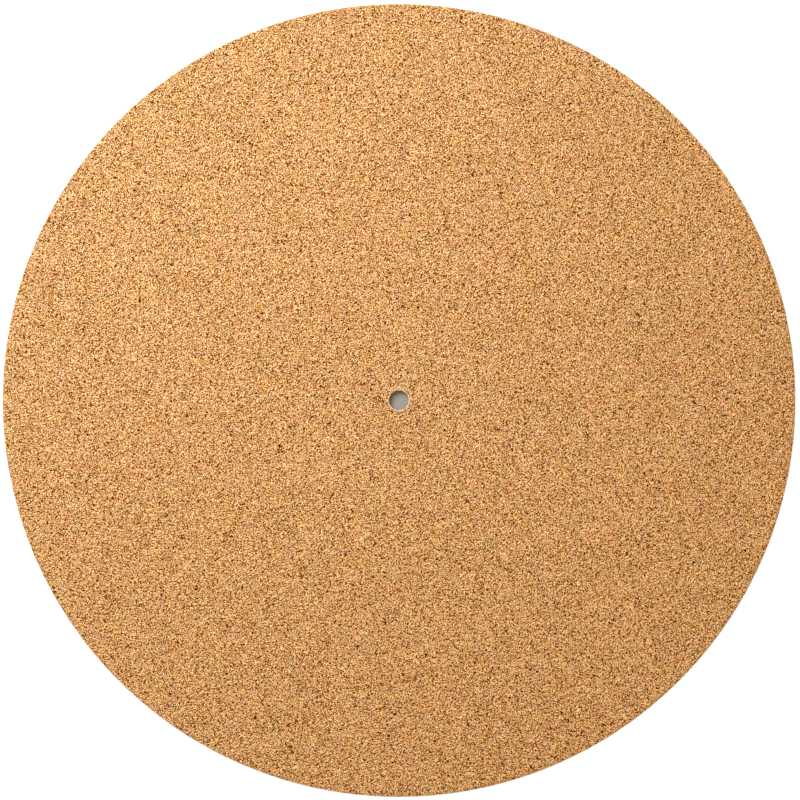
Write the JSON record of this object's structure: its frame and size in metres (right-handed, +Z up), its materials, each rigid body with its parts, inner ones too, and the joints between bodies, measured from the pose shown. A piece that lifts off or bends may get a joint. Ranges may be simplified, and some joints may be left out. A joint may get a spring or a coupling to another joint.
{
  "type": "turntable platter mat",
  "caption": "Thin round mat of pressed cork granules with a small centre hole, which lies on a record player's platter under the record.",
  "frame": {"origin": "on the spindle's axis, in the face that lies on the platter", "axes": "+Z up along the spindle's axis, from the face on the platter to the face under the record; the mat is round, so +X and +Y are any two square directions across it"},
  "size_m": [0.3, 0.3, 0.003],
  "materials": {
    "cork": "matte"
  },
  "bodies": {
    "root": {"cork_mat": "cork"}
  },
  "joints": []
}
